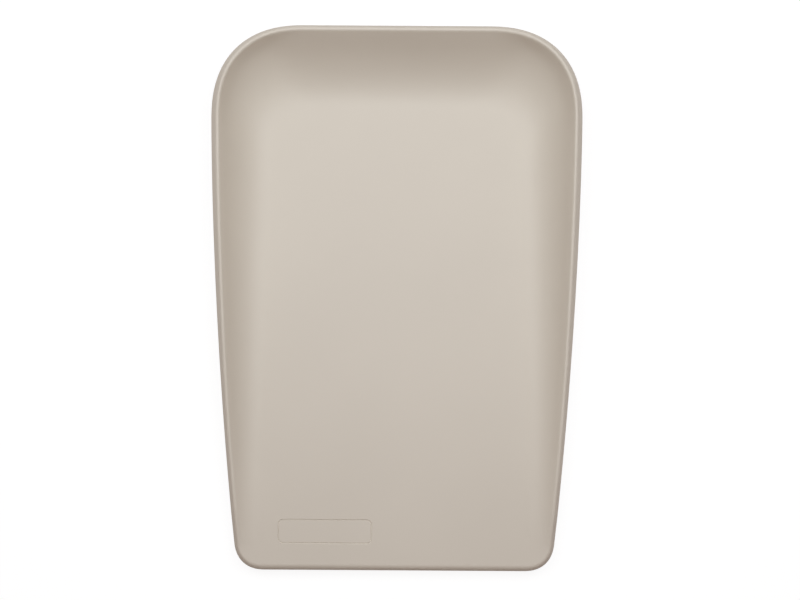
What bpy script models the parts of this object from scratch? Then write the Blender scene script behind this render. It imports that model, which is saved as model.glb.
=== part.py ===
"""Changing mat for a baby: a soft moulded dish with a raised head end.

Two moulded skins meet at a parting line round the widest place of the mat, a foam core fills them, and
four rubber pads in the underside keep the mat from sliding. Metres, +Z up, +Y towards the head end.
The origin is on the surface that the mat lies on, below the middle of the mat.

Every soft shape here is a loft: rings run round the mat, one inside the other, and follow the moulded
section from the parting line over the rolled rim, down the wall and out onto the lying surface.
"""

import math

import bmesh
import bpy

# Overall sizes
LENGTH = 0.700
WIDTH = 0.471
HEAD_HEIGHT = 0.104
LYING_HEIGHT = 0.034

# Plan outline at the parting line
WIDEST_FROM_HEAD = 0.122
SIDE_TAPER = 0.0297
HEAD_CORNER = 0.120
FOOT_CORNER = 0.037

# Stretch at the foot in which the rim's climb begins, seen from the side
FOOT_EASE = 0.080

# Rim, from its crest outwards to the parting line: a tight crest, a sloping flank and a round edge
CREST_RADIUS = 0.0035
EDGE_RADIUS = 0.0030
FLANK_ANGLE = math.radians(50)
HEAD_FLANK = 0.0016
CHEST_FLANK = 0.0050
LOWER_FLANK = 0.0031
RIDGE_FROM_HEAD = 0.240
RIDGE_FADE = 0.300
FOOT_RADIUS = 0.0078
FOOT_FLANK = 0.0010

# Inner wall, from the crest inwards to the lying surface: a tight break, a straight wall and a long fillet
RIM_BREAK = 0.003
HEAD_WALL = 0.012
HEAD_FILLET = 0.073
CHEST_WALL = 0.002
CHEST_FILLET = 0.063
FOOT_WALL = 0.001
FOOT_FILLET = 0.016
LOWER_FILLET = 0.024
CHEST_FROM_HEAD = 0.155
FLOOR_HEAD_CORNER = 0.060
FLOOR_FOOT_CORNER = 0.012

# Outer wall and underside
DRAFT = math.radians(8)
BASE_RADIUS = 0.009

# Skins and core
SKIN = 0.002
GAP = 0.0003

# Grip pads
PAD_RADIUS = 0.020
PAD_SEAT = 0.001
PAD_PROUD = 0.001
PAD_EDGE = 0.0004
PAD_FROM_HEAD = 0.085
PAD_FROM_FOOT = 0.065
PAD_FROM_SIDE = 0.070
CUT_OVERRUN = 0.005

# Powers that give the curves their character
CORNER_POWER = 2.4
TAPER_POWER = 1.8
CLIMB_POWER = 1.35
HEAD_EASE_POWER = 1.0
SIDE_EASE_POWER = 1.5

# Stations round half of the mat, and facets of the section
HEAD_EDGE_STEPS = 2
HEAD_CORNER_STEPS = 7
SIDE_STEPS = 10
FOOT_CORNER_STEPS = 5
FOOT_EDGE_STEPS = 2
FILLET_STEPS = 4
SPREAD_POWER = 1.4
BASE_STEPS = 3
PAD_SIDES = 32
PAD_EDGE_STEPS = 2
SHARP_ANGLE = math.radians(40)

# Surfaces
SKIN_COLOUR = (0.60, 0.55, 0.49)
SKIN_ROUGHNESS = 0.55
FOAM_COLOUR = (0.78, 0.72, 0.58)
FOAM_ROUGHNESS = 0.9
PAD_COLOUR = (0.23, 0.21, 0.19)
PAD_ROUGHNESS = 0.8

# Lines that the sizes above give
HEAD_EDGE = LENGTH / 2
FOOT_EDGE = -LENGTH / 2
WIDEST_Y = HEAD_EDGE - WIDEST_FROM_HEAD
QUARTER_TURN = math.pi / 2


def smooth_share(share):
    """Ease a share from 0 to 1 so that it starts and ends level."""
    share = min(1, max(0, share))
    return share * share * (3 - 2 * share)


def blend(low, high, share):
    """The value a share of the way from low to high, for numbers or rows of numbers."""
    if isinstance(low, tuple):
        return tuple(blend(a, b, share) for a, b in zip(low, high))
    return low + (high - low) * share


def half_width(y):
    """Half of the mat's width at the parting line: full beside the head, drawn in towards the foot."""
    below = max(0, WIDEST_Y - y) / (WIDEST_Y - FOOT_EDGE)
    return WIDTH / 2 - SIDE_TAPER * below ** TAPER_POWER


def crest_height(y):
    """Height of the rim's crest: it climbs fastest near the foot and levels out towards the head."""
    left = max(0, HEAD_EDGE - y) / LENGTH
    begun = smooth_share((y - FOOT_EDGE) / FOOT_EASE)
    return blend(LYING_HEIGHT, HEAD_HEIGHT, begun * (1 - left ** CLIMB_POWER))


def corner_shares(turn):
    """A point on a unit corner a little squarer than a circle: turn 0 faces the end, 1 the side."""
    across = math.sin(turn * QUARTER_TURN)
    along = math.cos(turn * QUARTER_TURN)
    reach = (across ** CORNER_POWER + along ** CORNER_POWER) ** (-1 / CORNER_POWER)
    return reach * across, reach * along


def plan_point(station, insets, corners):
    """Where a station lies on a ring that is drawn in by insets and has corners of its own size."""
    zone, place = station
    head_line = HEAD_EDGE - insets["head"]
    foot_line = FOOT_EDGE + insets["foot"]
    head_turn = head_line - corners["head"]
    foot_turn = foot_line + corners["foot"]
    if zone == "head edge":
        return place * (half_width(head_line) - insets["side"] - corners["head"]), head_line
    if zone == "head corner":
        across, along = corner_shares(place)
        y = head_turn + corners["head"] * along
        return half_width(y) - insets["side"] - corners["head"] * (1 - across), y
    if zone == "side":
        y = blend(head_turn, foot_turn, place)
        return half_width(y) - insets["side"], y
    if zone == "foot corner":
        across, along = corner_shares(1 - place)
        y = foot_turn - corners["foot"] * along
        return half_width(y) - insets["side"] - corners["foot"] * (1 - across), y
    return place * (half_width(foot_line) - insets["side"] - corners["foot"]), foot_line


def half_stations():
    """Stations down one half of the mat, from near the middle of the head edge to the foot edge."""
    stations = [("head edge", (2 * i + 1) / (2 * HEAD_EDGE_STEPS + 1)) for i in range(HEAD_EDGE_STEPS)]
    stations += [("head corner", i / HEAD_CORNER_STEPS) for i in range(HEAD_CORNER_STEPS + 1)]
    stations += [("side", i / SIDE_STEPS) for i in range(1, SIDE_STEPS)]
    stations += [("foot corner", i / FOOT_CORNER_STEPS) for i in range(FOOT_CORNER_STEPS + 1)]
    places = [(2 * i + 1) / (2 * FOOT_EDGE_STEPS + 1) for i in range(FOOT_EDGE_STEPS)]
    return stations + [("foot edge", place) for place in reversed(places)]


def same_inset(inset):
    """Insets and corners of a ring that keeps one distance from the parting line."""
    insets = {"head": inset, "side": inset, "foot": inset}
    return insets, {"head": HEAD_CORNER - inset, "foot": FOOT_CORNER - inset}


def reference_y(station):
    """The y that a station has on the parting line, which sets its heights."""
    return plan_point(station, *same_inset(0))[1]


def closed_ring(half):
    """Mirror half a ring and join the halves into one loop of points."""
    return half + [(-x, y, z) for x, y, z in reversed(half)]


def rim_shape(station):
    """Crest radius, flank width and edge radius of the rim where a station crosses it."""
    zone, place = station
    head = (CREST_RADIUS, HEAD_FLANK, EDGE_RADIUS)
    chest = (CREST_RADIUS, CHEST_FLANK, EDGE_RADIUS)
    lower = (CREST_RADIUS, LOWER_FLANK, EDGE_RADIUS)
    foot = (FOOT_RADIUS, FOOT_FLANK, FOOT_RADIUS)
    if zone in ("head edge", "head corner"):
        return head if zone == "head edge" else blend(head, chest, smooth_share(place))
    if zone == "side":
        below = HEAD_EDGE - RIDGE_FROM_HEAD - reference_y(station)
        return blend(chest, lower, smooth_share(below / RIDGE_FADE))
    return foot if zone == "foot edge" else blend(lower, foot, smooth_share(place))


def rim_size(station):
    """How wide the rim is from its crest to the parting line, and how far it drops."""
    crest, flank, edge = rim_shape(station)
    width = crest * math.sin(FLANK_ANGLE) + flank + edge * (1 - math.sin(FLANK_ANGLE))
    drop = crest * (1 - math.cos(FLANK_ANGLE)) + flank * math.tan(FLANK_ANGLE) + edge * math.cos(FLANK_ANGLE)
    return width, drop


def rim_point(station, arc, share, depth):
    """A point on the rim, or depth under it: on the arc at the crest or on the one at the edge."""
    crest, flank, edge = rim_shape(station)
    width, drop = rim_size(station)
    height = crest_height(reference_y(station))
    if arc == "crest":
        angle = FLANK_ANGLE * share
        inset = width - (crest - depth) * math.sin(angle)
        height += (crest - depth) * math.cos(angle) - crest
    else:
        angle = blend(FLANK_ANGLE, QUARTER_TURN, share)
        inset = edge - (edge - depth) * math.sin(angle)
        height += (edge - depth) * math.cos(angle) - drop
    x, y = plan_point(station, *same_inset(inset))
    return x, y, height


def rim_ring(arc, share, depth):
    """A ring on the rim: share 0 to 1 runs outwards along its arc."""
    return closed_ring([rim_point(station, arc, share, depth) for station in half_stations()])


def side_widths(y):
    """Plan widths of the side wall's break, straight wall and fillet: narrow at the foot, full at the chest."""
    share = min(1, (y - FOOT_EDGE) / (LENGTH - CHEST_FROM_HEAD))
    return blend((RIM_BREAK, FOOT_WALL, LOWER_FILLET), (RIM_BREAK, CHEST_WALL, CHEST_FILLET), share)


def slope_widths(station):
    """Plan widths of the slope at the head, at the sides and at the foot, and where the station crosses it."""
    zone, place = station
    head = (RIM_BREAK, HEAD_WALL, HEAD_FILLET)
    side = side_widths(reference_y(station))
    foot = (RIM_BREAK, FOOT_WALL, FOOT_FILLET)
    across = {
        "head edge": head,
        "head corner": blend(head, side, smooth_share(place)),
        "side": side,
        "foot corner": blend(side, foot, smooth_share(place)),
        "foot edge": foot,
    }[zone]
    return {"head": head, "side": side, "foot": foot, "across": across}


def ease_power(station):
    """How fast the fillet eases out onto the lying surface: evenly at the head, faster along the sides."""
    zone, place = station
    if zone == "head edge":
        return HEAD_EASE_POWER
    if zone == "head corner":
        return blend(HEAD_EASE_POWER, SIDE_EASE_POWER, smooth_share(place))
    return SIDE_EASE_POWER


def slope_reach(widths, stretch, share):
    """Plan distance from the crest to a place on one stretch of the slope: break, wall or fillet."""
    before = {"break": 0, "wall": widths[0], "fillet": widths[0] + widths[1]}[stretch]
    length = dict(zip(("break", "wall", "fillet"), widths))[stretch]
    return before + length * share


def slope_fall(widths, power, stretch, share):
    """The share of the wall's height lost at a place on the slope, and its steepness there."""
    tight, wall, fillet = widths
    total = tight / 2 + wall + fillet / (power + 1)
    if stretch == "break":
        return tight / 2 * share ** 2 / total, share / total
    if stretch == "wall":
        return (tight / 2 + wall * share) / total, 1 / total
    left = 1 - share
    return 1 - fillet / (power + 1) * left ** (power + 1) / total, left ** power / total


def slope_point(station, stretch, share, depth):
    """A point on the inner wall, or depth under it, measured square to the wall."""
    crest = crest_height(reference_y(station))
    rise = crest - LYING_HEIGHT
    widths = slope_widths(station)
    fall, steepness = slope_fall(widths["across"], ease_power(station), stretch, share)
    tilt = math.atan(rise * steepness)
    outwards = depth * math.sin(tilt)
    rim = rim_size(station)[0]
    insets = {}
    for side in ("head", "side", "foot"):
        insets[side] = rim + slope_reach(widths[side], stretch, share) - outwards
    done = slope_reach(widths["across"], stretch, share) / sum(widths["across"])
    corners = {
        "head": blend(HEAD_CORNER - rim, FLOOR_HEAD_CORNER, done) + outwards,
        "foot": blend(FOOT_CORNER - rim, FLOOR_FOOT_CORNER, done) + outwards,
    }
    x, y = plan_point(station, insets, corners)
    return x, y, crest - rise * fall - depth * math.cos(tilt)


def slope_ring(stretch, share, depth):
    """A ring on the inner wall, between the rim's crest and the edge of the lying surface."""
    return closed_ring([slope_point(station, stretch, share, depth) for station in half_stations()])


def parting_height(station):
    """Height of the parting line, which follows the rim."""
    return crest_height(reference_y(station)) - rim_size(station)[1]


def wall_ring(below, depth):
    """The upper edge of the drafted outer wall, a distance below the parting line."""
    half = []
    for station in half_stations():
        x, y = plan_point(station, *same_inset(depth))
        half.append((x, y, parting_height(station) - below))
    return closed_ring(half)


def base_ring(turn, depth):
    """A ring on the rounded lower edge: turn 0 meets the outer wall and 1 the flat underside."""
    angle = blend(DRAFT, QUARTER_TURN, turn)
    radius = BASE_RADIUS - depth
    middle = PAD_PROUD + BASE_RADIUS
    half = []
    for station in half_stations():
        wall = parting_height(station) - middle + BASE_RADIUS * math.sin(DRAFT)
        inset = wall * math.tan(DRAFT) + BASE_RADIUS * math.cos(DRAFT) - radius * math.cos(angle)
        x, y = plan_point(station, *same_inset(inset))
        half.append((x, y, middle - radius * math.sin(angle)))
    return closed_ring(half)


def top_rings(depth, middles):
    """Rings from the lying surface up the wall and over the rim to the parting line.

    The middles are the rings halfway round the tight arcs, which only the outer face needs.
    """
    places = [("fillet", (1 - i / FILLET_STEPS) ** SPREAD_POWER) for i in range(FILLET_STEPS)]
    places += [("wall", 1), ("break", 1)]
    if middles:
        places.append(("break", 1 / 2))
    arcs = [("crest", 0), ("crest", 1 / 2), ("crest", 1), ("edge", 0), ("edge", 1 / 2), ("edge", 1)]
    rings = [slope_ring(stretch, share, depth) for stretch, share in places]
    return rings + [rim_ring(arc, share, depth) for arc, share in arcs if middles or share in (0, 1)]


def bottom_rings(depth):
    """Rings round the lower edge, from the outer wall to the underside."""
    return [base_ring(i / BASE_STEPS, depth) for i in range(BASE_STEPS + 1)]


def loft(name, rings):
    """Close a chain of rings into one solid: faces between neighbours and a flat face at each end.

    The faces are split along the same diagonals in every piece, mirrored left and right, so that
    surfaces that lie one inside the other stay parallel where the form is twisted.
    """
    mesh = bpy.data.meshes.new(name)
    bm = bmesh.new()
    loops = [[bm.verts.new(point) for point in ring] for ring in rings]
    count = len(loops[0])
    for inner, outer in zip(loops, loops[1:]):
        for i in range(count):
            j = (i + 1) % count
            quad = [inner[i], inner[j], outer[j], outer[i]]
            if i >= count / 2:
                quad = quad[1:] + quad[:1]
            bm.faces.new(quad)
    bmesh.ops.triangulate(bm, faces=bm.faces, quad_method="FIXED")
    bm.faces.new(loops[0])
    bm.faces.new(loops[-1])
    bmesh.ops.recalc_face_normals(bm, faces=bm.faces)
    bm.to_mesh(mesh)
    bm.free()
    mesh.shade_smooth()
    mesh.set_sharp_from_angle(angle=SHARP_ANGLE)
    return bpy.data.objects.new(name, mesh)


def material(name, colour, roughness):
    """A plain non-metal surface."""
    surface = bpy.data.materials.new(name)
    surface.use_nodes = True
    shader = surface.node_tree.nodes["Principled BSDF"]
    shader.inputs["Base Color"].default_value = colour + (1,)
    shader.inputs["Roughness"].default_value = roughness
    shader.inputs["Metallic"].default_value = 0
    return surface


def lying_skin():
    """The dish: inner face from the lying surface to the parting line, and back along the outer face.

    The inner face is laid first, so that its diagonals are those of the foam beneath it.
    """
    return loft("lying_skin", top_rings(SKIN, False) + top_rings(0, True)[::-1])


def base_skin(pad_places, cutters):
    """The outer wall and the underside, with a round seat cut into the underside for each grip pad."""
    outside = bottom_rings(0)[::-1] + [wall_ring(GAP, 0)]
    inside = [wall_ring(GAP, SKIN)] + bottom_rings(SKIN)
    skin = loft("base_skin", outside + inside)
    for name, (x, y) in pad_places.items():
        top = PAD_PROUD + PAD_SEAT
        low = PAD_PROUD - CUT_OVERRUN
        cutter = disc("seat_of_" + name, PAD_RADIUS + GAP, low, top, x, y)
        cutter.hide_render = True
        cutter.display_type = "WIRE"
        cutters.objects.link(cutter)
        cut = skin.modifiers.new(cutter.name, "BOOLEAN")
        cut.operation = "DIFFERENCE"
        cut.solver = "EXACT"
        cut.object = cutter
    return skin


def foam_core():
    """The foam: the same moulded form, one skin and one gap inside both skins."""
    depth = SKIN + GAP
    return loft("foam_core", top_rings(depth, False) + bottom_rings(depth))


def disc(name, radius, low, high, x, y):
    """A round disc between two heights."""
    bpy.ops.mesh.primitive_cylinder_add(
        vertices=PAD_SIDES, radius=radius, depth=high - low, location=(x, y, (low + high) / 2))
    made = bpy.context.object
    for collection in list(made.users_collection):
        collection.objects.unlink(made)
    made.name = name
    return made


def grip_pad(name, x, y):
    """A rubber disc glued into its seat, with its edges broken."""
    pad = disc(name, PAD_RADIUS, 0, PAD_PROUD + PAD_SEAT - GAP, x, y)
    edge = pad.modifiers.new("broken edge", "BEVEL")
    edge.width = PAD_EDGE
    edge.segments = PAD_EDGE_STEPS
    edge.limit_method = "ANGLE"
    pad.data.shade_smooth()
    pad.data.set_sharp_from_angle(angle=SHARP_ANGLE)
    return pad


def grip_pad_places():
    """Where each pad's middle lies: a pair near the head end and a pair near the foot."""
    places = {}
    for end, y in (("head", HEAD_EDGE - PAD_FROM_HEAD), ("foot", FOOT_EDGE + PAD_FROM_FOOT)):
        reach = half_width(y) - PAD_FROM_SIDE
        places["grip_pad_" + end + "_left"] = (-reach, y)
        places["grip_pad_" + end + "_right"] = (reach, y)
    return places


def new_collection(name):
    """A collection in the scene."""
    made = bpy.data.collections.new(name)
    bpy.context.scene.collection.children.link(made)
    return made


def add_part(collection, part, surface):
    """Give a part its material and put it in the mat's collection."""
    part.data.materials.append(surface)
    collection.objects.link(part)


def build():
    """Make the whole mat."""
    for leftover in list(bpy.data.objects):
        bpy.data.objects.remove(leftover)
    mat = new_collection("changing_mat")
    cutters = new_collection("cutters")
    skin_surface = material("moulded polyurethane skin", SKIN_COLOUR, SKIN_ROUGHNESS)
    foam_surface = material("polyurethane foam", FOAM_COLOUR, FOAM_ROUGHNESS)
    pad_surface = material("grip rubber", PAD_COLOUR, PAD_ROUGHNESS)
    places = grip_pad_places()
    add_part(mat, lying_skin(), skin_surface)
    add_part(mat, base_skin(places, cutters), skin_surface)
    add_part(mat, foam_core(), foam_surface)
    for name, (x, y) in places.items():
        add_part(mat, grip_pad(name, x, y), pad_surface)


build()
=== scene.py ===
# %% [markdown]
# A changing mat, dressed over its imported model
#
# The mat is a soft dish of moulded polyurethane: a flat place to lie on, a wall that rises round the head,
# and a thin rim lip that runs all the way round and melts away at the foot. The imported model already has
# the right size and the right main form. This script puts finer pieces in the same places and gives them
# their surfaces. The first step loads that model as a fixed frame and keeps its box for comparison.

# %% Load the frame
import math

import bmesh
import bpy
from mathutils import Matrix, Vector


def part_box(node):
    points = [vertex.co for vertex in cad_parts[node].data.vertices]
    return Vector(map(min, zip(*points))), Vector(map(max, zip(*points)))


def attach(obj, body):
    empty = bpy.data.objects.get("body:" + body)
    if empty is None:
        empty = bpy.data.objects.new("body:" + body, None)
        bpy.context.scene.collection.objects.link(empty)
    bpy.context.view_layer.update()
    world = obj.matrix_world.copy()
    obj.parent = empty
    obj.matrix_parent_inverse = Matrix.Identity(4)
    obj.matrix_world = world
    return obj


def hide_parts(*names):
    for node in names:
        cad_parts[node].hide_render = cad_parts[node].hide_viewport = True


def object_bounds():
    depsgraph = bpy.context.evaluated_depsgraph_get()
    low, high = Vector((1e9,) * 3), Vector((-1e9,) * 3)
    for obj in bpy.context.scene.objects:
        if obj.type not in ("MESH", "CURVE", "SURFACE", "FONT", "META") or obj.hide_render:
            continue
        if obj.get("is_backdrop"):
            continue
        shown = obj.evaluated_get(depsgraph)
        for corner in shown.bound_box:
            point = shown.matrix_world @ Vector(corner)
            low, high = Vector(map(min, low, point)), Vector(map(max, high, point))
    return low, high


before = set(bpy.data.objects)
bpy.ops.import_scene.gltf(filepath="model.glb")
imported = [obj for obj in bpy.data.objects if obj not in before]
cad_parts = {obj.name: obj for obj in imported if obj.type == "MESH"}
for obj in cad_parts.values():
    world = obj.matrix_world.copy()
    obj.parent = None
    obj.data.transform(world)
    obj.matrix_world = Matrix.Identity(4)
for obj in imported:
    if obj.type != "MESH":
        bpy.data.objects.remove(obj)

MM_PER_METRE = 1000


def in_mm(length, digits=None):
    """A length in metres as millimetres, rounded for a cell's print."""
    return round(MM_PER_METRE * length, digits)


cad_box = [list(corner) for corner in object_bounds()]
print("nodes:", sorted(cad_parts))
print("size in mm:", [in_mm(high - low) for low, high in zip(*cad_box)])

# %% [markdown]
# The camera
#
# The photograph looks straight down on the mat from about two metres, so the raised head end comes out a
# little larger than the low foot. From further away the two would be the same size, and from nearer the
# walls would lean outwards in the picture. The mat lies less than half a degree askew in it, so the camera
# is turned by that, and a shift of a few pixels puts the mat where the photograph has it.

# %% Camera
CAMERA_PLACE = (0.0, 0.0, 2.1)
CAMERA_TURN = math.radians(0.362)
CAMERA_SHIFT = (0.0053, 0.0037)
FOCAL_LENGTH = 71.31
SENSOR_WIDTH = 36.0

camera = bpy.data.objects.new("camera", bpy.data.cameras.new("camera"))
bpy.context.scene.collection.objects.link(camera)
camera.location = CAMERA_PLACE
camera.rotation_euler = (0, 0, CAMERA_TURN)
camera.data.sensor_width = SENSOR_WIDTH
camera.data.lens = FOCAL_LENGTH
camera.data.shift_x, camera.data.shift_y = CAMERA_SHIFT
bpy.context.scene.camera = camera
print("camera", round(FOCAL_LENGTH, 1), "mm, looking straight down from", CAMERA_PLACE[2], "m")

# %% [markdown]
# Helpers for light and surfaces
#
# Colours are picked as the hex values that a screen shows, and Blender wants linear light, so one function
# turns the first into the second. Another adds a node to a material, or to the world: it sets the node's
# choices, its sockets and its incoming links in one call, so that each surface reads as a list of nodes.


# %% Colour and node helpers
def screen_colour(code):
    """The linear colour of an sRGB hex code."""
    channels = [int(code[i:i + 2], 16) / 255 for i in (1, 3, 5)]
    linear = [c / 12.92 if c <= 0.04045 else ((c + 0.055) / 1.055) ** 2.4 for c in channels]
    return (*linear, 1)


def add_node(owner, kind, settings=None, sockets=None):
    """A node of this kind; a socket's value is a number, a colour or the output that feeds it."""
    node = owner.node_tree.nodes.new("ShaderNode" + kind)
    for name, value in (settings or {}).items():
        setattr(node, name, value)
    for name, value in (sockets or {}).items():
        if isinstance(value, bpy.types.NodeSocket):
            owner.node_tree.links.new(value, node.inputs[name])
        else:
            node.inputs[name].default_value = value
    return node


def new_material(name):
    """A material with its Principled shader, and the place on the object in metres."""
    material = bpy.data.materials.new(name)
    material.use_nodes = True
    shader = material.node_tree.nodes["Principled BSDF"]
    place = add_node(material, "TexCoord").outputs["Object"]
    return material, shader, place


def per_metre(millimetres):
    """The scale that makes a pattern repeat about once in this many millimetres."""
    return MM_PER_METRE / millimetres


print("a mid grey #808080 is", round(screen_colour("#808080")[0], 3), "in linear light")

# %% [markdown]
# Soft studio light
#
# The mat's shape is only seen by its shading: the head wall leans away from the light, the foot roll even
# more. One big softbox could be placed by eye. Here round one-metre softboxes stand at the same distance in
# several directions, because their powers can then be matched one by one to the brightness of each slope in
# the photograph. Nearly all light comes from high up over the head end, and two weak low lamps pick out the
# rim. Studio lamps are a cool white, which the room's warmer light makes up for.

# %% Lamps
LAMP_DISTANCE = 2.0
LAMP_WIDTH = 1.0
LAMP_WHITE = "#f2f9ff"

# How far each lamp leans from straight up and where it stands round the mat, in degrees, and its watts
LAMPS = {
    "overhead": (0, 0, 6.0),
    "over_head_left": (22, 135, 14.0),
    "over_head_right": (22, 45, 15.1),
    "low_left": (68, 135, 2.5),
    "low_right": (68, 45, 1.9),
}


def add_lamp(name, lean, turn, watts):
    """A round softbox at the lamps' distance, facing the middle of the mat."""
    lamp = bpy.data.objects.new(name, bpy.data.lights.new(name, "AREA"))
    bpy.context.scene.collection.objects.link(lamp)
    lean, turn = math.radians(lean), math.radians(turn)
    way = Vector((math.sin(lean) * math.cos(turn), math.sin(lean) * math.sin(turn), math.cos(lean)))
    lamp.location = LAMP_DISTANCE * way
    lamp.rotation_euler = (-way).to_track_quat("-Z", "Y").to_euler()
    lamp.data.shape = "DISK"
    lamp.data.size = LAMP_WIDTH
    lamp.data.energy = watts
    lamp.data.color = screen_colour(LAMP_WHITE)[:3]
    lamp.visible_camera = False


for name, (lean, turn, watts) in LAMPS.items():
    add_lamp(name, lean, turn, watts)
bpy.context.scene.view_settings.view_transform = "Standard"
print(len(LAMPS), "softboxes,", round(sum(lamp[2] for lamp in LAMPS.values()), 1), "W together")

# %% [markdown]
# The room
#
# The room is Blender's world: one dim warm light from every side, as wood and pale walls send it back. It
# fills the slopes that turn away from the lamps, so that they look warmer than the flat. A camera that looks
# along the table would see that dim light behind it, so a ray that comes straight from the camera gets full
# white instead.

# %% Room
ROOM_WARMTH = "#ffb070"
ROOM_LIGHT = 0.133

room = bpy.data.worlds.new("room")
room.use_nodes = True
bpy.context.scene.world = room
dim_room = room.node_tree.nodes["Background"]
dim_room.inputs["Color"].default_value = screen_colour(ROOM_WARMTH)
dim_room.inputs["Strength"].default_value = ROOM_LIGHT
seen_room = add_node(room, "Background", sockets={"Color": (1, 1, 1, 1), "Strength": 1.0})
ray = add_node(room, "LightPath")
choice = add_node(room, "MixShader", sockets={
    0: ray.outputs["Is Camera Ray"], 1: dim_room.outputs[0], 2: seen_room.outputs[0]})
room_end = room.node_tree.nodes["World Output"]
room.node_tree.links.new(choice.outputs[0], room_end.inputs["Surface"])
print("room light", ROOM_LIGHT, "of full white")

# %% [markdown]
# The white table
#
# The photograph's ground is pure white. More light would get there too, but it would bleach the mat. So the
# table has a glow of its own that only the camera and reflections see, and with it a weak diffuse layer
# that still darkens a little where the mat keeps the light off. For light that bounces up under the mat's
# edge, it is plain pale paint.

# %% Table
TABLE_SPAN = 60.0
TABLE_GLOW = 0.90
TABLE_LAYER = 0.15
TABLE_ROUGHNESS = 0.9

bpy.ops.mesh.primitive_plane_add(size=TABLE_SPAN)
table = bpy.context.object
table.name = "white_table"
white_paint, paint_shader, _ = new_material("white matt paint")
paint_shader.inputs["Base Color"].default_value = screen_colour("#d1d1d1")
paint_shader.inputs["Roughness"].default_value = TABLE_ROUGHNESS
glow = add_node(white_paint, "Emission", sockets={"Strength": TABLE_GLOW})
layer = add_node(white_paint, "BsdfDiffuse", sockets={"Color": (TABLE_LAYER,) * 3 + (1,)})
seen_table = add_node(white_paint, "AddShader", sockets={0: glow.outputs[0], 1: layer.outputs[0]})
ray = add_node(white_paint, "LightPath")
seen_or_mirrored = add_node(white_paint, "Math", {"operation": "MAXIMUM"}, {
    0: ray.outputs["Is Camera Ray"], 1: ray.outputs["Is Glossy Ray"]})
seen_anyhow = add_node(white_paint, "Math", {"operation": "MAXIMUM"}, {
    0: seen_or_mirrored.outputs[0], 1: ray.outputs["Is Transmission Ray"]})
choice = add_node(white_paint, "MixShader", sockets={
    0: seen_anyhow.outputs[0], 1: paint_shader.outputs[0], 2: seen_table.outputs[0]})
paint_end = white_paint.node_tree.nodes["Material Output"]
white_paint.node_tree.links.new(choice.outputs[0], paint_end.inputs["Surface"])
table.data.materials.append(white_paint)
table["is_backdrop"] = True
print("table", TABLE_SPAN, "m across")

# %% [markdown]
# Moulded polyurethane skin
#
# The skin is sprayed or brushed into a warm mould and cures to a dense, soft rubbery layer that copies the
# mould's surface. To the eye it is a warm light greige, evenly matt, with broad soft highlights on tight
# curves and no mirror-like shine. The real grain is about a third of a millimetre, finer than a pixel of
# the picture, so it is drawn four times as coarse and very shallow. A second, broad pattern moves the
# colour by a hair, as thicker and thinner places of the skin do. The little panel near the foot was left
# smoother in the mould, so it has the same skin with less grain and a touch more gloss.

# %% Skin material
GRAIN_SIZE = 1.4
GRAIN_HEIGHT = 0.0003
CLOUD_SIZE = 160.0
SHEEN_SPREAD = 0.03
SKIN_IOR = 1.5


def moulded_skin(name, roughness, relief):
    """The mat's skin with this roughness, and grain of this strength."""
    material, shader, place = new_material(name)
    shader.inputs["IOR"].default_value = SKIN_IOR
    clouds = add_node(material, "TexNoise", sockets={
        "Vector": place, "Scale": per_metre(CLOUD_SIZE), "Detail": 2.0, "Roughness": 0.5})
    tint = add_node(material, "ValToRGB", sockets={"Fac": clouds.outputs["Fac"]})
    tint.color_ramp.elements[0].position = 0.35
    tint.color_ramp.elements[0].color = screen_colour("#d1cabd")
    tint.color_ramp.elements[1].position = 0.65
    tint.color_ramp.elements[1].color = screen_colour("#d3ccbf")
    material.node_tree.links.new(tint.outputs["Color"], shader.inputs["Base Color"])
    sheen_patches = add_node(material, "MapRange", sockets={
        "Value": clouds.outputs["Fac"],
        "To Min": roughness - SHEEN_SPREAD, "To Max": roughness + SHEEN_SPREAD})
    material.node_tree.links.new(sheen_patches.outputs["Result"], shader.inputs["Roughness"])
    grain = add_node(material, "TexNoise", sockets={
        "Vector": place, "Scale": per_metre(GRAIN_SIZE), "Detail": 3.0, "Roughness": 0.6})
    grain_relief = add_node(material, "Bump", sockets={
        "Strength": relief, "Distance": GRAIN_HEIGHT, "Height": grain.outputs["Fac"]})
    material.node_tree.links.new(grain_relief.outputs["Normal"], shader.inputs["Normal"])
    return material


skin_finish = moulded_skin("moulded matt polyurethane skin", roughness=0.60, relief=0.15)
panel_finish = moulded_skin("moulded smooth polyurethane panel", roughness=0.42, relief=0.03)
print("skin grain", GRAIN_SIZE, "mm, colour clouds", CLOUD_SIZE, "mm")

# %% [markdown]
# Polyurethane foam and grip rubber
#
# The core is soft open-celled foam, pale yellow and slightly uneven, with cells a little under a millimetre
# wide. A noise would give it grains, so the rounded cells come from a Voronoi pattern's distance, pressed in
# as bump. The pads are dark natural rubber with a dry, finely pitted surface, so a noise drives both their
# bump and their roughness.

# %% Foam and rubber materials
CELL_SIZE = 0.8
CELL_DEPTH = 0.0003
UNEVEN_SIZE = 40.0
FOAM_ROUGHNESS = 0.95
PIT_SIZE = 0.5
PIT_DEPTH = 0.0002
RUBBER_IOR = 1.52

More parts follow.
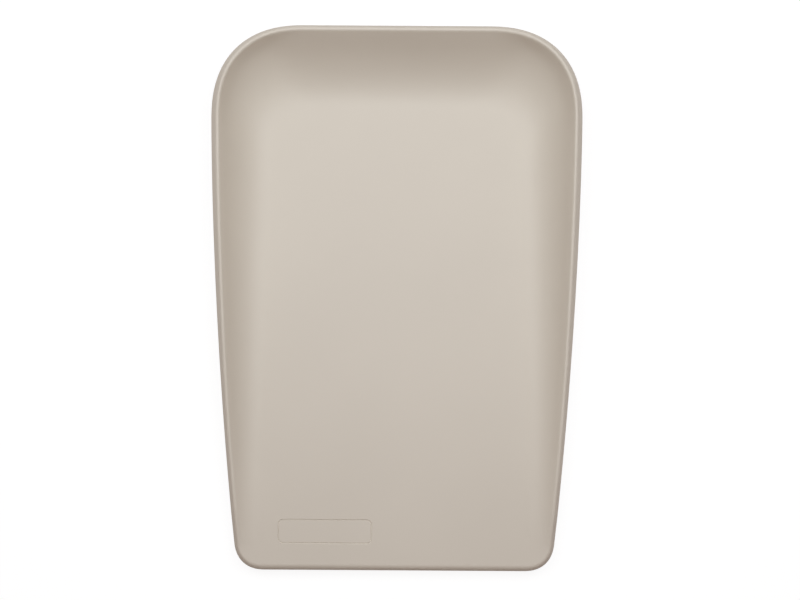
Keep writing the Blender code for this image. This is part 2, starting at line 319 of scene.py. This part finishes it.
foam_finish, shader, place = new_material("soft open-celled polyurethane foam")
cells = add_node(foam_finish, "TexVoronoi", sockets={"Vector": place, "Scale": per_metre(CELL_SIZE)})
uneven = add_node(foam_finish, "TexNoise", sockets={
    "Vector": place, "Scale": per_metre(UNEVEN_SIZE), "Detail": 3.0})
tint = add_node(foam_finish, "ValToRGB", sockets={"Fac": uneven.outputs["Fac"]})
tint.color_ramp.elements[0].color = screen_colour("#dccfa6")
tint.color_ramp.elements[1].color = screen_colour("#e8ddb9")
foam_finish.node_tree.links.new(tint.outputs["Color"], shader.inputs["Base Color"])
cell_relief = add_node(foam_finish, "Bump", sockets={
    "Strength": 0.5, "Distance": CELL_DEPTH, "Height": cells.outputs["Distance"]})
foam_finish.node_tree.links.new(cell_relief.outputs["Normal"], shader.inputs["Normal"])
shader.inputs["Roughness"].default_value = FOAM_ROUGHNESS

rubber_finish, shader, place = new_material("dark matt natural rubber")
shader.inputs["IOR"].default_value = RUBBER_IOR
pits = add_node(rubber_finish, "TexNoise", sockets={
    "Vector": place, "Scale": per_metre(PIT_SIZE), "Detail": 4.0})
tint = add_node(rubber_finish, "ValToRGB", sockets={"Fac": pits.outputs["Fac"]})
tint.color_ramp.elements[0].color = screen_colour("#494541")
tint.color_ramp.elements[1].color = screen_colour("#55504b")
rubber_finish.node_tree.links.new(tint.outputs["Color"], shader.inputs["Base Color"])
dryness = add_node(rubber_finish, "MapRange", sockets={
    "Value": pits.outputs["Fac"], "To Min": 0.72, "To Max": 0.88})
rubber_finish.node_tree.links.new(dryness.outputs["Result"], shader.inputs["Roughness"])
pit_relief = add_node(rubber_finish, "Bump", sockets={
    "Strength": 0.25, "Distance": PIT_DEPTH, "Height": pits.outputs["Fac"]})
rubber_finish.node_tree.links.new(pit_relief.outputs["Normal"], shader.inputs["Normal"])
print("foam cells", CELL_SIZE, "mm, rubber pits", PIT_SIZE, "mm")

# %% [markdown]
# The sizes of the form
#
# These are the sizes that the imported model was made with. Its outer ones are read back from the frame, so
# the fine pieces cannot drift from it. The rest say how the rim and the wall curve between them.

# %% Sizes
low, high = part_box("lying_skin")
HEAD_EDGE = high[1]
FOOT_EDGE = low[1]
LENGTH = HEAD_EDGE - FOOT_EDGE
WIDTH = high[0] - low[0]
HEAD_HEIGHT = high[2]
LYING_HEIGHT = 0.034

WIDEST_FROM_HEAD = 0.122
SIDE_TAPER = 0.0297
HEAD_CORNER = 0.120
FOOT_CORNER = 0.037
FOOT_EASE = 0.080
CORNER_POWER = 2.4
TAPER_POWER = 1.8
CLIMB_POWER = 1.35
WIDEST_Y = HEAD_EDGE - WIDEST_FROM_HEAD
QUARTER_TURN = math.pi / 2

SKIN = 0.002
GAP = 0.0003
PARTING_CHAMFER = 0.0003
print("mat", in_mm(WIDTH), "x", in_mm(LENGTH), "x", in_mm(HEAD_HEIGHT), "mm")

# %% [markdown]
# Stations round the mat
#
# Every ring of the mat has the same stations, counted from the middle of the head edge down the right side
# to the foot and back up the left. A station knows its zone and how far through the zone it is. They could
# be spread evenly, but the corners need them closest, so each zone has a number of its own.

# %% Stations
HEAD_EDGE_STEPS = 8
HEAD_CORNER_STEPS = 30
SIDE_STEPS = 44
FOOT_CORNER_STEPS = 18
FOOT_EDGE_STEPS = 8


def half_stations():
    """Stations down the right half of the mat, from near the middle of the head edge to the foot edge."""
    stations = [("head edge", (2 * i + 1) / (2 * HEAD_EDGE_STEPS + 1)) for i in range(HEAD_EDGE_STEPS)]
    stations += [("head corner", i / HEAD_CORNER_STEPS) for i in range(HEAD_CORNER_STEPS + 1)]
    stations += [("side", i / SIDE_STEPS) for i in range(1, SIDE_STEPS)]
    stations += [("foot corner", i / FOOT_CORNER_STEPS) for i in range(FOOT_CORNER_STEPS + 1)]
    places = [(2 * i + 1) / (2 * FOOT_EDGE_STEPS + 1) for i in range(FOOT_EDGE_STEPS)]
    return stations + [("foot edge", place) for place in reversed(places)]


STATIONS = half_stations()
print(2 * len(STATIONS), "stations round the mat")

# %% [markdown]
# The outline
#
# Seen from above, the corners are a little squarer than a circle, and the sides draw in towards the foot on
# one long curve. A ring knows how far it is drawn in from the parting line, the mat's widest outline, and
# with a station that gives a place. One outline could be inset again and again, but the corners change size
# on the way in, so each ring is worked out afresh.


# %% Outline
def blend(start, end, share):
    """The value a share of the way from start to end, for numbers or rows of numbers."""
    if isinstance(start, tuple):
        return tuple(blend(a, b, share) for a, b in zip(start, end))
    return start + (end - start) * share


def half_width(y):
    """Half of the mat's width at the parting line: full beside the head, drawn in towards the foot."""
    below = max(0, WIDEST_Y - y) / (WIDEST_Y - FOOT_EDGE)
    return WIDTH / 2 - SIDE_TAPER * below ** TAPER_POWER


def corner_shares(turn):
    """A point on a unit corner a little squarer than a circle: turn 0 faces the end, 1 the side."""
    across = math.sin(turn * QUARTER_TURN)
    along = math.cos(turn * QUARTER_TURN)
    reach = (across ** CORNER_POWER + along ** CORNER_POWER) ** (-1 / CORNER_POWER)
    return reach * across, reach * along


def plan_point(station, insets, corners):
    """Where a station lies on a ring that is drawn in by insets and has corners of its own size."""
    zone, place = station
    head_line = HEAD_EDGE - insets["head"]
    foot_line = FOOT_EDGE + insets["foot"]
    head_turn = head_line - corners["head"]
    foot_turn = foot_line + corners["foot"]
    if zone == "head edge":
        return place * (half_width(head_line) - insets["side"] - corners["head"]), head_line
    if zone == "head corner":
        across, along = corner_shares(place)
        y = head_turn + corners["head"] * along
        return half_width(y) - insets["side"] - corners["head"] * (1 - across), y
    if zone == "side":
        y = blend(head_turn, foot_turn, place)
        return half_width(y) - insets["side"], y
    if zone == "foot corner":
        across, along = corner_shares(1 - place)
        y = foot_turn - corners["foot"] * along
        return half_width(y) - insets["side"] - corners["foot"] * (1 - across), y
    return place * (half_width(foot_line) - insets["side"] - corners["foot"]), foot_line


def even_inset(inset):
    """Insets and corners of a ring that keeps one distance from the parting line."""
    insets = {"head": inset, "side": inset, "foot": inset}
    return insets, {"head": HEAD_CORNER - inset, "foot": FOOT_CORNER - inset}


print("the sides draw in from", in_mm(WIDTH), "to", in_mm(2 * half_width(FOOT_EDGE)), "mm apart")

# %% [markdown]
# Heights round the mat
#
# The rim climbs all the way from the foot to the head, fastest near the foot. It could be bent up with a
# lattice, but then its section would lean too. So each station gets its height from how far up the mat it
# is, and the sections stay upright. The mat is the same on both sides, so only its right half is worked out.


# %% Heights
def smooth_share(share):
    """Ease a share from 0 to 1 so that it starts and ends level."""
    share = min(1, max(0, share))
    return share * share * (3 - 2 * share)


def reference_y(station):
    """The y that a station has on the parting line, which sets its heights."""
    return plan_point(station, *even_inset(0))[1]


def crest_height(y):
    """Height of the rim's crest: it climbs fastest near the foot and levels out towards the head."""
    left = max(0, HEAD_EDGE - y) / LENGTH
    begun = smooth_share((y - FOOT_EDGE) / FOOT_EASE)
    return blend(LYING_HEIGHT, HEAD_HEIGHT, begun * (1 - left ** CLIMB_POWER))


def mirrored(half):
    """The places of a whole ring from those down its right half."""
    return half + [(-x, y, z) for x, y, z in reversed(half)]


print("the crest climbs from", in_mm(crest_height(FOOT_EDGE)), "to", in_mm(crest_height(HEAD_EDGE)), "mm")

# %% [markdown]
# The rim's section
#
# Cut the rim anywhere and the same profile appears: a tight crest, a sloping flank that faces outwards, and
# a round edge that turns down to the parting line. Its sizes change slowly on the way round. At the head
# the flank is narrow, beside the chest it is widest, and at the foot the crest grows into one soft roll.
# The profile could be drawn as a curve and swept, but a sweep keeps its profile, so each ring is placed by
# functions of its station instead.

# %% Rim section
CREST_RADIUS = 0.0035
EDGE_RADIUS = 0.0030
FLANK_ANGLE = math.radians(50)
HEAD_FLANK = 0.0016
CHEST_FLANK = 0.0050
LOWER_FLANK = 0.0031
RIDGE_FROM_HEAD = 0.240
RIDGE_FADE = 0.300
FOOT_RADIUS = 0.0078
FOOT_FLANK = 0.0010


def rim_shape(station):
    """Crest radius, flank width and edge radius of the rim where a station crosses it."""
    zone, place = station
    head = (CREST_RADIUS, HEAD_FLANK, EDGE_RADIUS)
    chest = (CREST_RADIUS, CHEST_FLANK, EDGE_RADIUS)
    lower = (CREST_RADIUS, LOWER_FLANK, EDGE_RADIUS)
    foot = (FOOT_RADIUS, FOOT_FLANK, FOOT_RADIUS)
    if zone in ("head edge", "head corner"):
        return head if zone == "head edge" else blend(head, chest, smooth_share(place))
    if zone == "side":
        below = HEAD_EDGE - RIDGE_FROM_HEAD - reference_y(station)
        return blend(chest, lower, smooth_share(below / RIDGE_FADE))
    return foot if zone == "foot edge" else blend(lower, foot, smooth_share(place))


def rim_size(station):
    """How wide the rim is from its crest to the parting line, and how far it drops."""
    crest, flank, edge = rim_shape(station)
    width = crest * math.sin(FLANK_ANGLE) + flank + edge * (1 - math.sin(FLANK_ANGLE))
    drop = crest * (1 - math.cos(FLANK_ANGLE)) + flank * math.tan(FLANK_ANGLE) + edge * math.cos(FLANK_ANGLE)
    return width, drop


rim_widths = [in_mm(rim_size(station)[0], 1) for station in STATIONS]
print("the rim is", min(rim_widths), "to", max(rim_widths), "mm wide")

# %% [markdown]
# Rings on the rim
#
# A ring runs along the rim at one place of its profile: on the crest's arc, on the edge's arc or on the
# parting line. The inside of the skin wants the same rings a distance under the surface. They could be
# scaled down, but the skin would come out thicker in one place than in another. So the distance is taken off
# the arc's radius, and the arc keeps its middle.


# %% Rim rings
def rim_ring(arc, share, depth):
    """A ring on the rim, or depth under it: share 0 to 1 runs outwards along the crest's or edge's arc."""
    half = []
    for station in STATIONS:
        crest, flank, edge = rim_shape(station)
        width, drop = rim_size(station)
        height = crest_height(reference_y(station))
        if arc == "crest":
            angle = FLANK_ANGLE * share
            inset = width - (crest - depth) * math.sin(angle)
            height += (crest - depth) * math.cos(angle) - crest
        else:
            angle = blend(FLANK_ANGLE, QUARTER_TURN, share)
            inset = edge - (edge - depth) * math.sin(angle)
            height += (edge - depth) * math.cos(angle) - drop
        half.append((*plan_point(station, *even_inset(inset)), height))
    return mirrored(half)


def parting_height(station):
    """Height of the parting line, which follows the rim."""
    return crest_height(reference_y(station)) - rim_size(station)[1]


def parting_ring(below, inset):
    """A ring a distance below the parting line and drawn in from it."""
    half = []
    for station in STATIONS:
        x, y = plan_point(station, *even_inset(inset))
        half.append((x, y, parting_height(station) - below))
    return mirrored(half)


print("the parting line is", in_mm(parting_height(STATIONS[0])), "mm up at the head,",
      in_mm(parting_height(STATIONS[-1])), "mm at the foot")

# %% [markdown]
# The wall inside the rim
#
# From the crest the surface breaks over, runs down a short straight wall and sweeps out in a long fillet
# to the flat. In the photograph that fillet is the wide soft shadow round the head and the sides. It could
# be a bevel of one width, but the real wall is drawn out wide at the head and hardly at all at the foot. So
# each stretch has its own plan width at the head, at the sides and at the foot, and the corners blend them.

# %% Wall widths
RIM_BREAK = 0.003
HEAD_WALL = 0.012
HEAD_FILLET = 0.073
CHEST_WALL = 0.002
CHEST_FILLET = 0.063
FOOT_WALL = 0.001
FOOT_FILLET = 0.016
LOWER_FILLET = 0.024
CHEST_FROM_HEAD = 0.155
FLOOR_HEAD_CORNER = 0.060
FLOOR_FOOT_CORNER = 0.012


def side_widths(y):
    """Plan widths of a side's break, wall and fillet: full at the chest, narrow at the foot."""
    share = min(1, (y - FOOT_EDGE) / (LENGTH - CHEST_FROM_HEAD))
    return blend((RIM_BREAK, FOOT_WALL, LOWER_FILLET), (RIM_BREAK, CHEST_WALL, CHEST_FILLET), share)


def slope_widths(station):
    """Plan widths of the slope at the head, at the sides, at the foot, and where the station crosses it."""
    zone, place = station
    head = (RIM_BREAK, HEAD_WALL, HEAD_FILLET)
    side = side_widths(reference_y(station))
    foot = (RIM_BREAK, FOOT_WALL, FOOT_FILLET)
    across = {
        "head edge": head,
        "head corner": blend(head, side, smooth_share(place)),
        "side": side,
        "foot corner": blend(side, foot, smooth_share(place)),
        "foot edge": foot,
    }[zone]
    return {"head": head, "side": side, "foot": foot, "across": across}


def slope_reach(widths, stretch, share):
    """Plan distance from the crest to a place on one stretch of the slope: break, wall or fillet."""
    before = {"break": 0, "wall": widths[0], "fillet": widths[0] + widths[1]}[stretch]
    length = dict(zip(("break", "wall", "fillet"), widths))[stretch]
    return before + length * share


print("the slope reaches", in_mm(RIM_BREAK + HEAD_WALL + HEAD_FILLET), "mm in from the rim at the head,",
      in_mm(sum(side_widths(FOOT_EDGE))), "mm at the foot's sides")

# %% [markdown]
# How the wall falls
#
# The fillet could be an arc, but the shadows on the real wall spread in another way in each place. So its
# slope fades as a power of the way left to go: evenly at the head, and faster along the sides, where the
# shadow hugs the rim. In the two head corners the shadow is darkest right beside the rim, so a small share
# of the fall there hugs it. The fillet ends level everywhere, so it meets the flat without a line.

# %% Wall fall
HEAD_EASE_POWER = 1.0
SIDE_EASE_POWER = 1.5
CORNER_HUG_POWER = 10.0
CORNER_HUG_SHARE = 0.16
CORNER_HUG_FADE = 0.32


def ease_power(station):
    """How fast the fillet eases out onto the lying surface: evenly at the head, faster along the sides."""
    zone, place = station
    if zone == "head edge":
        return HEAD_EASE_POWER
    if zone == "head corner":
        return blend(HEAD_EASE_POWER, SIDE_EASE_POWER, smooth_share(place))
    return SIDE_EASE_POWER


def slope_fall(widths, power, stretch, share):
    """The share of the wall's height lost at a place on the slope, and its steepness there."""
    tight, wall, fillet = widths
    total = tight / 2 + wall + fillet / (power + 1)
    if stretch == "break":
        return tight / 2 * share ** 2 / total, share / total
    if stretch == "wall":
        return (tight / 2 + wall * share) / total, 1 / total
    left = 1 - share
    return 1 - fillet / (power + 1) * left ** (power + 1) / total, left ** power / total


def corner_hug(station):
    """The share of the wall's fall that hugs the rim: none but in the head corners."""
    zone, place = station
    if zone != "head corner":
        return 0
    after_head = smooth_share(place / CORNER_HUG_FADE)
    before_side = smooth_share((1 - place) / CORNER_HUG_FADE)
    return CORNER_HUG_SHARE * after_head * before_side


def station_fall(station, widths, stretch, share):
    """The share of the fall at a place on a station's slope and its steepness there, corners included."""
    tight, wall, fillet = widths
    eased = slope_fall(widths, ease_power(station), stretch, share)
    if stretch != "break":
        share = (slope_reach(widths, stretch, share) - tight) / (wall + fillet)
        stretch = "fillet"
    hugging = slope_fall((tight, 0, wall + fillet), CORNER_HUG_POWER, stretch, share)
    return blend(eased, hugging, corner_hug(station))


print("the head wall rises", in_mm(HEAD_HEIGHT - LYING_HEIGHT), "mm over the lying surface")

# %% [markdown]
# Rings on the wall
#
# The skin has a thickness, and the foam fills it, so the same wall is wanted again a distance further down.
# Moving rings straight down would make the skin thin on steep ground, so each point is moved square to its
# own slope. The rings run parallel to the rim at the crest and to the lying surface's own corners below.


# %% Rings on the wall
def slope_point(station, stretch, share, depth, further):
    """A point on the slope, or depth under it, drawn a little further in than its place."""
    crest = crest_height(reference_y(station))
    rise = crest - LYING_HEIGHT
    widths = slope_widths(station)
    fall, steepness = station_fall(station, widths["across"], stretch, share)
    tilt = math.atan(rise * steepness)
    outwards = depth * math.sin(tilt) - further
    rim = rim_size(station)[0]
    insets = {}
    for side in ("head", "side", "foot"):
        insets[side] = rim + slope_reach(widths[side], stretch, share) - outwards
    done = slope_reach(widths["across"], stretch, share) / sum(widths["across"])
    corners = {
        "head": blend(HEAD_CORNER - rim, FLOOR_HEAD_CORNER, done) + outwards,
        "foot": blend(FOOT_CORNER - rim, FLOOR_FOOT_CORNER, done) + outwards,
    }
    x, y = plan_point(station, insets, corners)
    return x, y, crest - rise * fall - depth * math.cos(tilt)


def slope_ring(stretch, share, depth, further=0):
    """A ring on the slope, between the rim's crest and the edge of the lying surface."""
    return mirrored([slope_point(station, stretch, share, depth, further) for station in STATIONS])


wall_foot = slope_point(STATIONS[0], "fillet", 1, 0, 0)
print("at the head the flat starts", in_mm(HEAD_EDGE - wall_foot[1]), "mm in from the edge")

# %% [markdown]
# Rings to surface
#
# A ring starts as Blender's circle, whose vertices are carried to their places. The next ring is an
# extrusion of the last one's edges, and its vertices are carried to their places in turn. Each vertex
# remembers its number round the ring, which the extrusion copies, so no list of faces is written by hand.


# %% Ring helpers
def new_skin():
    """An empty mesh whose vertices remember their number round the ring."""
    bm = bmesh.new()
    bm.verts.layers.int.new("number")
    return bm


def start_ring(bm, places):
    """A closed ring of edges through these places."""
    number = bm.verts.layers.int["number"]
    circle = bmesh.ops.create_circle(bm, cap_ends=False, segments=len(places), radius=1)["verts"]
    for i, (vert, place) in enumerate(zip(circle, places)):
        vert[number] = i
        vert.co = place
    return list(dict.fromkeys(edge for vert in circle for edge in vert.link_edges))


def next_ring(bm, edges, places):
    """Extrude a ring of edges and carry the new ring to these places."""
    number = bm.verts.layers.int["number"]
    made = bmesh.ops.extrude_edge_only(bm, edges=edges)["geom"]
    for vert in (part for part in made if isinstance(part, bmesh.types.BMVert)):
        vert.co = places[vert[number]]
    return [part for part in made if isinstance(part, bmesh.types.BMEdge) and part.is_boundary]


def run_rings(bm, rings):
    """Start at the first ring, carry on to the last, and return the edges of both."""
    first = start_ring(bm, rings[0])
    last = first
    for places in rings[1:]:
        last = next_ring(bm, last, places)
    return first, last


trial = new_skin()
run_rings(trial, [parting_ring(0, 0), parting_ring(SKIN, 0)])
print("two rings are joined by", len(trial.faces), "faces")
trial.free()

# %% [markdown]
# Filling and finishing
#
# A run of rings ends in flat openings. One face closes a plain one, and triangles fill the flat where other
# rings lie in it. The mesh then becomes a piece: its faces are turned outwards, and it is shaded smooth but
# for its sharp edges. Those could be split, but the shell would come open, so they are marked by their
# angle.

# %% Filling and finishing
SHARP_ANGLE = math.radians(50)


def fill_between(bm, edges):
    """Fill a flat region between rings of edges."""
    bmesh.ops.triangle_fill(bm, use_beauty=True, use_dissolve=False, edges=edges)


def close_ring(bm, edges, finish_number=0):
    """Close a flat ring with one face, which has this one of the piece's finishes."""
    bmesh.ops.edgeloop_fill(bm, edges=edges, mat_nr=finish_number)


def finish_piece(bm, name, finish, nodes, sharp_angle=SHARP_ANGLE):
    """Turn the mesh into a piece that stands for its nodes and rides on the mat."""
    bmesh.ops.recalc_face_normals(bm, faces=bm.faces)
    mesh = bpy.data.meshes.new(name)
    bm.to_mesh(mesh)
    bm.free()
    mesh.shade_smooth()
    mesh.set_sharp_from_angle(angle=sharp_angle)
    mesh.materials.append(finish)
    piece = bpy.data.objects.new(name, mesh)
    bpy.context.scene.collection.objects.link(piece)
    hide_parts(*nodes)
    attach(piece, "root")
    print(name, len(mesh.polygons), "faces")
    return piece


print("edges over", round(math.degrees(SHARP_ANGLE)), "degrees stay sharp")

# %% [markdown]
# The lying skin
#
# This is the piece that the baby touches and that the photograph shows nearly alone: flat, wall, rim and
# round edge in one moulding two millimetres thick. Its rings run from the flat out to the parting line and
# back along the inside, so that it is one closed shell. A small chamfer where it meets the lower skin makes
# the parting line that every two-part moulding has.
#
# Near the foot the mould left a bare panel. It lies a hair lower than the flat and is outlined by a fine,
# deep groove. The groove could be painted with a bump, but then it would vanish from the plain mesh, so it
# is cut as rings round the panel, narrow and steep enough to hold its own shadow on every side.

# %% Panel places
PANEL_MIDDLE = (-0.0906, -0.2986)
PANEL_SIZE = (0.1212, 0.0303)
PANEL_CORNER = 0.0062
PANEL_RECESS = 0.0003
PANEL_CORNER_STEPS = 8
GROOVE_HALF_WIDTH = 0.0008
GROOVE_DEPTH = 0.00115
GROOVE_MARGIN = 0.0004


def panel_ring(outwards, below):
    """A rounded rectangle round the panel, a distance outside its outline and below the lying surface."""
    places = []
    for quarter, (across, along) in enumerate(((1, 1), (-1, 1), (-1, -1), (1, -1))):
        for step in range(PANEL_CORNER_STEPS + 1):
            angle = QUARTER_TURN * (quarter + step / PANEL_CORNER_STEPS)
            x = across * (PANEL_SIZE[0] / 2 - PANEL_CORNER) + (PANEL_CORNER + outwards) * math.cos(angle)
            y = along * (PANEL_SIZE[1] / 2 - PANEL_CORNER) + (PANEL_CORNER + outwards) * math.sin(angle)
            places.append((PANEL_MIDDLE[0] + x, PANEL_MIDDLE[1] + y, LYING_HEIGHT - below))
    return places


# How far across the groove each ring runs, and its share of the groove's depth
GROOVE_STEPS = ((1, 0), (0.85, 0.1), (0.45, 0.85), (0, 1), (-0.45, 0.85))
groove_rings = [panel_ring(GROOVE_HALF_WIDTH + GROOVE_MARGIN, 0)]
groove_rings += [panel_ring(GROOVE_HALF_WIDTH * across, GROOVE_DEPTH * down) for across, down in GROOVE_STEPS]
groove_rings += [panel_ring(-GROOVE_HALF_WIDTH, PANEL_RECESS)]
groove_rings += [panel_ring(-GROOVE_HALF_WIDTH - GROOVE_MARGIN, PANEL_RECESS)]
print("panel", [in_mm(side) for side in PANEL_SIZE], "mm, groove of", len(groove_rings), "rings")

# %% [markdown]
# Closing the lying skin
#
# The rings up the wall, over the rim and down to the parting line make the outer face, and the same rings
# two millimetres deeper make the inner one. One run of extrusions through both leaves two open ends, both
# flat: the flat that the baby lies on, which is filled round the panel, and its inner side, which one face
# closes. Solidify would be shorter, but it would not leave the panel's groove out of the inner face.

# %% Lying skin
FILLET_STEPS = 24
WALL_STEPS = 3
BREAK_STEPS = 6
ARC_STEPS = 7
FLAT_MARGIN = 0.003


def top_rings(depth):
    """Rings from the lying surface up the wall and over the rim to the parting line."""
    rings = [slope_ring("fillet", 1, depth, FLAT_MARGIN)]
    rings += [slope_ring("fillet", 1 - i / FILLET_STEPS, depth) for i in range(FILLET_STEPS)]
    rings += [slope_ring("wall", 1 - i / WALL_STEPS, depth) for i in range(WALL_STEPS)]
    rings += [slope_ring("break", 1 - i / BREAK_STEPS, depth) for i in range(BREAK_STEPS)]
    rings += [rim_ring("crest", i / ARC_STEPS, depth) for i in range(ARC_STEPS + 1)]
    return rings + [rim_ring("edge", i / ARC_STEPS, depth) for i in range(ARC_STEPS + 1)]


skin = new_skin()
outer = top_rings(0)[:-1] + [parting_ring(-PARTING_CHAMFER, 0), parting_ring(0, PARTING_CHAMFER)]
flat_edge, inner_edge = run_rings(skin, outer + top_rings(SKIN)[::-1])
panel_edge, panel_face = run_rings(skin, groove_rings)
fill_between(skin, flat_edge + panel_edge)
close_ring(skin, panel_face, finish_number=1)
close_ring(skin, inner_edge)
lying = finish_piece(skin, "lying_skin_moulding", skin_finish, ["lying_skin"])
lying.data.materials.append(panel_finish)

# %% [markdown]
# The base skin
#
# Below the parting line the outer wall leans in by eight degrees, so that the moulding leaves its mould,
# and rounds into a flat underside, which the grip pads hold a millimetre off the table. The lean could be
# made by scaling the outline, but that would pull the two ends in more than the long sides. So each ring is
# drawn in from the outline itself, and further where the wall is higher.

# %% Base rings
DRAFT = math.radians(8)
BASE_RADIUS = 0.009
PAD_PROUD = 0.001
BASE_STEPS = 8
WALL_PLACES = (0.02, 0.2, 0.4, 0.6, 0.8, 0.98)


def base_ring(turn, depth, further=0):
    """A ring on the rounded lower edge: turn 0 meets the outer wall and 1 the flat underside."""
    angle = blend(DRAFT, QUARTER_TURN, turn)
    radius = BASE_RADIUS - depth
    middle = PAD_PROUD + BASE_RADIUS
    half = []
    for station in STATIONS:
        wall = parting_height(station) - middle + BASE_RADIUS * math.sin(DRAFT)
        inset = wall * math.tan(DRAFT) + BASE_RADIUS * math.cos(DRAFT) - radius * math.cos(angle)
        x, y = plan_point(station, *even_inset(inset + further))
        half.append((x, y, middle - radius * math.sin(angle)))
    return mirrored(half)


def wall_rings(lower, upper):
    """Rings that share out the straight wall between its lower and its upper ring."""
    return [[blend(low, high, share) for low, high in zip(lower, upper)] for share in WALL_PLACES]


def bottom_rings(depth):
    """Rings from the flat underside round the lower edge to the foot of the wall."""
    rings = [base_ring(1, depth, FLAT_MARGIN)]
    return rings + [base_ring(1 - i / BASE_STEPS, depth) for i in range(BASE_STEPS + 1)]


print("the outer wall leans in", in_mm(HEAD_EDGE - base_ring(0, 0)[0][1]), "mm at the head")

# %% [markdown]
# Closing the base skin
#
# Four round seats a millimetre deep take the grip pads. They could be cut with a Boolean, which leaves
# uneven faces round each cut. Here the flat is filled between the outer ring and four circles, and each
# circle is extruded up into its seat, over a lip that is rounded by a hair.

# %% Base skin
PAD_SEAT = 0.001
PAD_RADIUS = 0.020
SEAT_SIDES = 64
SEAT_ROUNDING = 0.0003
PADS = ["grip_pad_head_left", "grip_pad_head_right", "grip_pad_foot_left", "grip_pad_foot_right"]


def circle_ring(middle, radius, height):
    """A round ring about a pad's middle."""
    turns = [2 * math.pi * i / SEAT_SIDES for i in range(SEAT_SIDES)]
    return [(middle[0] + radius * math.cos(t), middle[1] + radius * math.sin(t), height) for t in turns]


pad_middles = {}
for node in PADS:
    low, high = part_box(node)
    pad_middles[node] = ((low[0] + high[0]) / 2, (low[1] + high[1]) / 2)

skin = new_skin()
outer = bottom_rings(0)
upper = parting_ring(GAP + PARTING_CHAMFER, 0)
inner = bottom_rings(SKIN)
rings = outer + wall_rings(outer[-1], upper) + [upper, parting_ring(GAP, PARTING_CHAMFER)]
rings += [parting_ring(GAP, SKIN)] + inner[::-1]
underside_edge, inner_edge = run_rings(skin, rings)
seat_edges = []
seat = PAD_RADIUS + GAP
for middle in pad_middles.values():
    seat_edge, seat_end = run_rings(skin, [
        circle_ring(middle, seat + 2 * SEAT_ROUNDING, PAD_PROUD),
        circle_ring(middle, seat + SEAT_ROUNDING, PAD_PROUD),
        circle_ring(middle, seat, PAD_PROUD + SEAT_ROUNDING),
        circle_ring(middle, seat, PAD_PROUD + PAD_SEAT),
    ])
    close_ring(skin, seat_end)
    seat_edges += seat_edge
fill_between(skin, underside_edge + seat_edges)
close_ring(skin, inner_edge)
finish_piece(skin, "base_skin_moulding", skin_finish, ["base_skin"])

# %% [markdown]
# The foam core
#
# The foam fills both skins and is what makes the mat soft. It has no seam and no sewn edge, because it was
# poured in place, so it needs no cloth simulation: it is the same moulded form, one skin and a hair inside.

# %% Foam core
depth = SKIN + GAP
foam = new_skin()
top_edge, bottom_edge = run_rings(foam, top_rings(depth) + bottom_rings(depth)[::-1])
close_ring(foam, top_edge)
close_ring(foam, bottom_edge)
core = finish_piece(foam, "foam_core_filling", foam_finish, ["foam_core"])

# %% [markdown]
# Grip pads
#
# Four rubber discs keep the mat from sliding. A plain cylinder would give the size, but a real pad has
# round grip ribs that press into the table. A turned profile is the natural way to make it: half of the
# section is drawn once as a chain of edges and spun round the pad's axis.

# %% Grip pads
PAD_THICKNESS = PAD_PROUD + PAD_SEAT - GAP
PAD_EDGE = 0.0004
RIB_COUNT = 6
RIB_HEIGHT = 0.0005
RIB_PLACES = 8
SPIN_STEPS = 72
MERGE_DISTANCE = 0.00001
PAD_SHARP_ANGLE = math.radians(40)


def pad_profile():
    """Half of the pad's section, from the top's middle out, round the edge and back over the ribs."""
    points = [(0, PAD_THICKNESS), (PAD_RADIUS - PAD_EDGE, PAD_THICKNESS)]
    points += [(PAD_RADIUS, PAD_THICKNESS - PAD_EDGE), (PAD_RADIUS, PAD_EDGE), (PAD_RADIUS - PAD_EDGE, 0)]
    pitch = (PAD_RADIUS - PAD_EDGE) / (RIB_COUNT + 1)
    for step in range(1, RIB_COUNT * RIB_PLACES + 1):
        along = step / RIB_PLACES
        groove = RIB_HEIGHT * (1 - math.cos(2 * math.pi * along)) / 2
        points.append((PAD_RADIUS - PAD_EDGE - pitch * along, groove))
    return points + [(0, 0)]


for node, (x, y) in pad_middles.items():
    pad = bmesh.new()
    chain = [pad.verts.new((x + radius, y, height)) for radius, height in pad_profile()]
    edges = [pad.edges.new(pair) for pair in zip(chain, chain[1:])]
    bmesh.ops.spin(
        pad, geom=chain + edges, cent=(x, y, 0), axis=(0, 0, 1), angle=2 * math.pi,
        steps=SPIN_STEPS, use_merge=True, use_duplicate=False)
    bmesh.ops.remove_doubles(pad, verts=pad.verts, dist=MERGE_DISTANCE)
    name = node.replace("grip_pad", "ribbed_pad")
    finish_piece(pad, name, rubber_finish, [node], PAD_SHARP_ANGLE)

# %% Sizes and finish
visual_box = [list(corner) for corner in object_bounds()]
growth = [[in_mm(new - old, 2) for old, new in zip(*corners)] for corners in zip(cad_box, visual_box)]
print("grown by mm:", growth)
